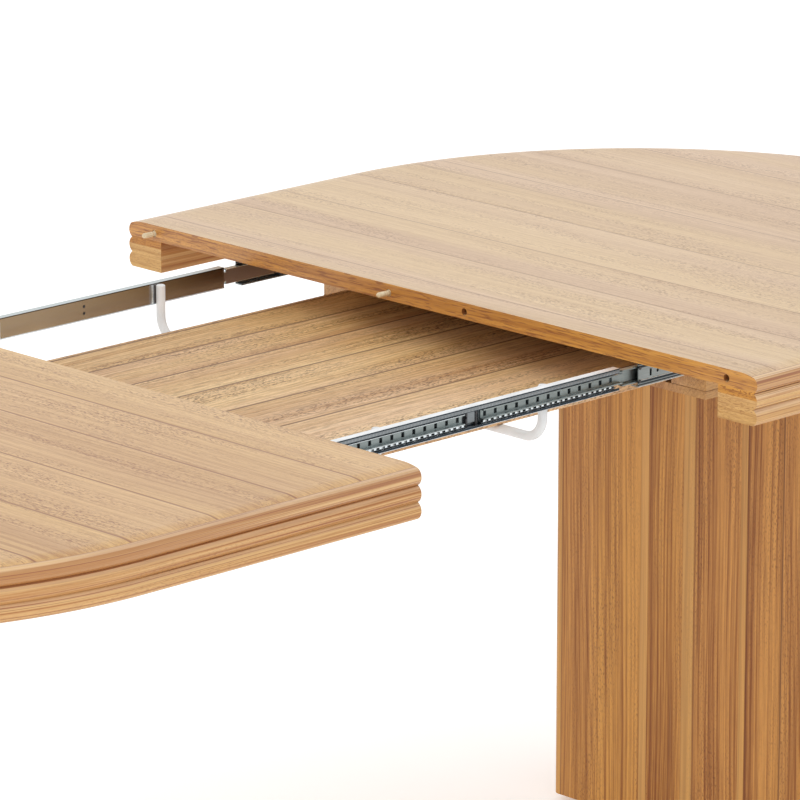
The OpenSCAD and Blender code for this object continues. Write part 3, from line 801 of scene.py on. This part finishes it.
def run(bm, edges, axis, end):
    """Draws the rod's ring out along one axis, as far as end."""
    step = Vector((0, 0, 0))
    step[axis] = end - edges[0].verts[0].co[axis]
    edges = moved(bmesh.ops.extrude_edge_only(bm, edges=edges), step)
    return in_plane(edges, axis, end)


def bend(bm, edges, centre):
    """Turns the rod's ring round a quarter of a circle."""
    quarter = {"cent": centre, "axis": (1, 0, 0), "angle": -math.pi / 2, "steps": bend_steps}
    return only(BMEdge, bmesh.ops.spin(bm, geom=edges, **quarter)["geom_last"])


def tapered(edges, x, y, share):
    """Narrows or widens a ring round the rod's middle."""
    for vert in {v for e in edges for v in e.verts}:
        vert.co.x = x + (vert.co.x - x) * share
        vert.co.y = y + (vert.co.y - y) * share


for name in ("carrier_bar_right", "carrier_bar_left"):
    bar_low, bar_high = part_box(name)
    rod = (bar_high.x - bar_low.x) / 2
    x = (bar_low.x + bar_high.x) / 2
    reach = bar_high.y - rod
    tip, bend_z = bar_high.z - tip_height, bar_low.z + rod + bend_radius
    bm = bmesh.new()
    circle = {"cap_ends": True, "segments": rod_steps, "radius": rod * tip_share}
    matrix = Matrix.Translation((x, reach, bar_high.z))
    ring = bmesh.ops.create_circle(bm, matrix=matrix, **circle)
    edges = run(bm, edges_at(ring["verts"]), 2, tip)
    tapered(edges, x, reach, 1 / tip_share)
    edges = run(bm, edges, 2, bend_z)
    edges = bend(bm, edges, (x, reach - bend_radius, bend_z))
    edges = run(bm, edges, 1, bend_radius - reach)
    edges = bend(bm, edges, (x, bend_radius - reach, bend_z))
    edges = run(bm, run(bm, edges, 2, tip), 2, bar_high.z)
    tapered(edges, x, -reach, tip_share)
    bmesh.ops.contextual_create(bm, geom=edges)
    to_piece(bm, name + "_rod", white_coat, "carriage", [name])

# Telescopic slides
# Zinc-plated sheet steel: a painted reflection makes it bright where it faces up, and a dull blue
# grey on the webs. The tracks rolled into the outer channels carry painted shade, as they stand
# back from the web.


def make_zinc_group():
    """Zinc plating: brushed and clouded, with one colour on its upright faces and a brighter
    painted reflection on top.
    """
    colours, outlets = ("Dull", "Bright"), ("Colour", "Gloss", "Relief")
    group, come = start_group("zinc", ("Place",), ("Rough",), colours, outlets)
    x, y, z = split(come["Place"])
    brushed = grain_noise((x, y, z), 8.0, 1100.0, 2.0)
    cloud = grain_noise((x, y, z), 40.0, 70.0, 2.0, 5.0)
    # painted reflection: faces that look up take the bright colour
    up = facing(group)[2].step(0.45, 0.80)
    tone = (brushed * 0.6 + cloud * 0.4).step(0.3, 0.7, 0.80, 1.12)
    colour = up.mix(come["Dull"], come["Bright"]).tinted(join(tone, tone, tone))
    return end_group(group, Colour=colour, Gloss=come["Rough"] + brushed * 0.15, Relief=brushed)


zinc_group = make_zinc_group()
channel_low, channel_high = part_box("middle_channel_far")
slide_z = (channel_low.z + channel_high.z) / 2
neck_start = 0.2320
# the near-black of painted shade in the outer channels' tracks and of the painted shadow along the
# runners' necks
painted_shade_grey = (0.035, 0.040, 0.044)


def zinc_material(name, dull, bright, rough, add_painted_light=None):
    """Zinc plating, with the painted shade and reflection that one kind of channel has."""
    material, shader, place = start_material(name)
    inlets = {"Place": place, "Dull": dull, "Bright": bright, "Rough": rough}
    looks = use_group(place.tree, zinc_group, inlets)
    if add_painted_light:
        add_painted_light(place, looks)
    finish_material(shader, looks, 0.00005)
    shader.inputs["Metallic"].default_value = 1.0
    return material


def rolled_tracks(place, looks):
    """Painted shade in the ball tracks of an outer channel, left out along a thin line down each
    one's middle.
    """
    height = abs(split(place)[2] - slide_z)
    track_shade = height.step(0.0069, 0.0076) * height.step(0.0121, 0.0127, 1.0, 0.0)
    unshaded_line = abs(height - 0.0103).step(0.0003, 0.0006, 0.8, 0.0)
    looks["Colour"] = (track_shade - unshaded_line).most(0.0).mix(looks["Colour"], painted_shade_grey)


def back_share(place):
    """A mask of the upright faces that look inwards, towards the stored leaf."""
    x, y, z = facing(place.tree)
    inward = (split(place)[1] * y).step(-0.1, 0.0, 1.0, 0.0)
    return abs(z).step(0.3, 0.5, 1.0, 0.0) * inward


def lips_and_back(place, looks):
    """A middle channel: painted shade on its lips' borders, a grey top painted as shade on the far
    one, and a warm painted reflection on its back.
    """
    x, y, z = split(place)
    height = z - slide_z
    # painted shade: near-black lines along the lips' borders and under the upper lip, on upright
    # faces
    border = height.step(0.0108, 0.0112).most(height.step(-0.0096, -0.0092, 1.0, 0.0))
    border = border.most(abs(height - 0.0071).step(0.0002, 0.0005, 1.0, 0.0))
    upward = facing(place.tree)[2]
    border = border * abs(upward).step(0.3, 0.5, 1.0, 0.0)
    # painted shade: the far channel's top is painted grey
    far_top_shade = upward.step(0.45, 0.80) * y.step(0.0, 0.1)
    looks["Colour"] = far_top_shade.mix(looks["Colour"], (0.58, 0.63, 0.63))
    front = border.mix(looks["Colour"], (0.030, 0.040, 0.050))
    # painted reflection on the back faces: pale grey turning to a darker warm brown along the
    # channel, with painted shade along the back's top
    along = (x * y.math("SIGN")).step(-0.10, 0.23)
    back = along.mix((0.567, 0.592, 0.605), (0.28, 0.250, 0.242))
    back = height.step(0.0110, 0.0114).mix(back, (0.10, 0.09, 0.085))
    share = back_share(place)
    looks["Colour"] = share.mix(front, back)
    looks["Gloss"] = looks["Gloss"] * share.step(0.0, 1.0, 1.0, 0.5)


def neck_and_back(place, looks):
    """A runner: painted shadow of its flanges as a dark line along its neck, and a darker, warm
    painted reflection on its back.
    """
    x, y, z = split(place)
    # painted shadow of the flanges: a dark line along the neck
    flange_shadow = abs(abs(z - slide_z) - 0.0064).step(0.0002, 0.0005, 0.8, 0.0)
    flange_shadow = flange_shadow * abs(x).math("GREATER_THAN", neck_start)
    front = flange_shadow.mix(looks["Colour"], painted_shade_grey)
    # painted reflection: the back faces are darker and warm
    looks["Colour"] = back_share(place).mix(front, (0.33, 0.270, 0.245))


# of each zinc, the colour of its upright faces, the painted reflection on its top faces, and its
# roughness
channel_looks = ((0.22, 0.24, 0.25), (0.93, 0.95, 0.96), 0.30)
outer_looks = ((0.30, 0.33, 0.325), (0.90, 0.93, 0.95), 0.32)
runner_looks = ((0.26, 0.295, 0.29), (0.62, 0.68, 0.70), 0.34)
zinc_channel = zinc_material("slide_zinc", *channel_looks, lips_and_back)
zinc_outer = zinc_material("outer_zinc", *outer_looks, rolled_tracks)
zinc_runner = zinc_material("runner_zinc", *runner_looks, neck_and_back)
zinc_cage = zinc_material("cage_zinc", (0.16, 0.18, 0.19), (0.42, 0.46, 0.48), 0.34)
ball_steel = zinc_material("ball_steel", (0.55, 0.57, 0.58), (0.75, 0.77, 0.78), 0.12)
screw_zinc = zinc_material("screw_zinc", (0.22, 0.23, 0.24), (0.35, 0.36, 0.37), 0.32)
# the nodes that keep their shape, by words in their names
kept_nodes = (
    ("middle_channel", zinc_channel), ("right_channel_near", zinc_outer),
    ("right_channel_far", zinc_outer), ("left_channel_near", zinc_outer),
    ("left_channel_far", zinc_outer), ("runner_near", zinc_runner), ("runner_far", zinc_runner),
    ("ball_cage", zinc_cage), ("_balls", ball_steel), ("screws", screw_zinc),
    ("bolts", screw_zinc), ("shoes", nylon), ("stops", nylon), ("buffers", nylon),
)
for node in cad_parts:
    for words, material in kept_nodes:
        if words in node:
            dress(node, material)

# Rolled edges of the slides
# Thin beads run along the rolled borders of the channels and of one runner in each half, in a
# bright zinc that is a painted highlight. The upper lip of a middle channel is pressed into small
# ribs, tabs of the cages in the same painted highlight show between the balls, and each outer
# channel's mouth has two black nylon studs, as painted shade in the open ends of its ball tracks.
zinc_rib = zinc_material("rib_zinc", (0.27, 0.29, 0.30), (0.45, 0.48, 0.50), 0.36)
# painted highlight: the bright zinc of the edge beads, welds and cage tabs
zinc_highlight = zinc_material("highlight_zinc", (0.72, 0.78, 0.80), (0.90, 0.93, 0.95), 0.25)
lip_bead, back_bead, runner_bead, outer_bead = 0.0003, 0.0006, 0.0004, 0.00045
bead_sides = 10
outer_bead_length, outer_bead_drop, outer_bead_sink = 0.12, 0.0005, 0.0001
track_border = 0.0068
rib_pitch, rib_width, rib_height, rib_depth, rib_edge = 0.005, 0.002, 0.0026, 0.00012, 0.00005
rib_drop, first_rib = 0.0018, 0.003
tab_pitch, tab_width, tab_height, tab_depth, tab_edge = 0.008, 0.0034, 0.0026, 0.0005, 0.0001
tab_rise = 0.0001
weld_x, weld_half, weld_depth, weld_rise, weld_edge = 0.0085, 0.0015, 0.0012, 0.0012, 0.0004
plug_points = [(0, 0), (0.0018, 0), (0.0018, 0.0011), (0, 0.0011)]
plug_x, plug_z, plug_shift, plug_steps = 0.012, 0.004, 0.0001, 16
stud_points = [(0, 0), (0.0020, 0), (0.0020, 0.0010), (0.0015, 0.0015), (0, 0.0015)]
stud_x, stud_z, stud_sink, stud_steps = 0.0022, 0.0075, 0.0002, 20
runner_half = 0.0058
shoe_length = 0.020


def edge_rod(bm, x0, x1, y, z, radius):
    """A thin round bead along the border of a sheet."""
    matrix = Matrix.Translation(((x0 + x1) / 2, y, z)) @ Matrix.Rotation(math.pi / 2, 4, "Y")
    rod = {"cap_ends": True, "segments": bead_sides, "radius1": radius, "radius2": radius}
    bmesh.ops.create_cone(bm, matrix=matrix, depth=x1 - x0, **rod)


highlight_edges, ribs, plugs = bmesh.new(), bmesh.new(), bmesh.new()
for side in (-1, 1):
    lip, back = side * channel_high.y, side * channel_low.y
    for y, bead in ((lip, lip_bead), (back, back_bead)):
        edge_rod(highlight_edges, channel_low.x, channel_high.x, y, channel_low.z + bead, bead)
    for name in ("carrier_bar_right", "carrier_bar_left"):
        bar_low, bar_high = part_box(name)
        x = (bar_low.x + bar_high.x) / 2 - side * weld_x
        inner, outer = sorted((back - side * weld_depth, back))
        weld_low = Vector((x - weld_half, inner, channel_low.z + weld_rise))
        weld_high = Vector((x + weld_half, outer, bar_high.z))
        soft_box(highlight_edges, weld_low, weld_high, weld_edge)
    for z in (slide_z - plug_z, slide_z + plug_z):
        plug_place = (side * plug_x, back + side * plug_shift, z)
        lathe(plugs, plug_points, plug_place, (0, side, 0), plug_steps)
    inner, outer = sorted((lip, lip + side * rib_depth))
    top = channel_high.z - rib_drop
    for step in range(int((channel_high.x - channel_low.x) / rib_pitch)):
        x = channel_low.x + first_rib + step * rib_pitch
        rib_low = Vector((x, inner, top - rib_height))
        soft_box(ribs, rib_low, Vector((x + rib_width, outer, top)), rib_edge)
to_piece(highlight_edges, "middle_channel_edges", zinc_highlight, "carriage")
to_piece(ribs, "middle_channel_ribs", zinc_rib, "carriage")
to_piece(plugs, "middle_channel_plugs", nylon, "carriage")
outer_low, outer_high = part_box("right_channel_far")
mouth = outer_low.x
for side in ("right", "left"):
    half, turned = f"{side}_half", side == "left"
    bm = bmesh.new()
    # both borders of the right half's far runner; turned round, of the left half's near one
    for name in ("right_runner_near", "right_runner_far"):
        runner_low, runner_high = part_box(name)
        neck_end = runner_high.x - shoe_length
        neck_half = runner_high.z - slide_z
        y = abs(runner_high.y)
        for up in (-1, 1):
            z = slide_z + up * (runner_half - runner_bead)
            edge_rod(bm, runner_low.x, neck_start, y, z, runner_bead)
            z = slide_z + up * (neck_half - runner_bead)
            edge_rod(bm, neck_start, neck_end, y, z, runner_bead)
    runners = f"{side}_runners"
    to_piece(bm, f"{side}_runner_edges", zinc_highlight, runners, (), turned)
    bm = bmesh.new()
    for turn, name in ((-1, "right_ball_cage_near"), (1, "right_ball_cage_far")):
        cage_low, cage_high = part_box(name)
        rim_y = cage_high.y if turn > 0 else cage_low.y
        inner, outer = sorted((rim_y - turn * tab_depth, rim_y))
        for step in range(int((cage_high.x - cage_low.x) / tab_pitch)):
            x = cage_low.x + (step + 0.5) * tab_pitch - tab_width / 2
            tab_low = Vector((x, inner, cage_low.z + tab_rise))
            tab_high = Vector((x + tab_width, outer, cage_low.z + tab_height))
            soft_box(bm, tab_low, tab_high, tab_edge)
    cages = f"{side}_cages"
    to_piece(bm, f"{side}_cage_tabs", zinc_highlight, cages, (), turned)
    bm, shade_studs = bmesh.new(), bmesh.new()
    bead_low, bead_high = outer_low.z + outer_bead_drop, outer_high.z - outer_bead_drop
    for turn in (-1, 1):
        for z in (bead_low, slide_z - track_border, bead_high):
            y = turn * (outer_high.y - outer_bead_sink)
            edge_rod(bm, mouth, mouth + outer_bead_length, y, z, outer_bead)
        # painted shade: black studs stand in the open ends of the ball tracks at the mouth
        for z in (slide_z - stud_z, slide_z + stud_z):
            y = turn * (outer_high.y - stud_sink)
            lathe(shade_studs, stud_points, (mouth + stud_x, y, z), (0, turn, 0), stud_steps)
    to_piece(bm, f"{side}_channel_edges", zinc_highlight, half, (), turned)
    to_piece(shade_studs, f"{side}_mouth_shade_studs", nylon, half, (), turned)
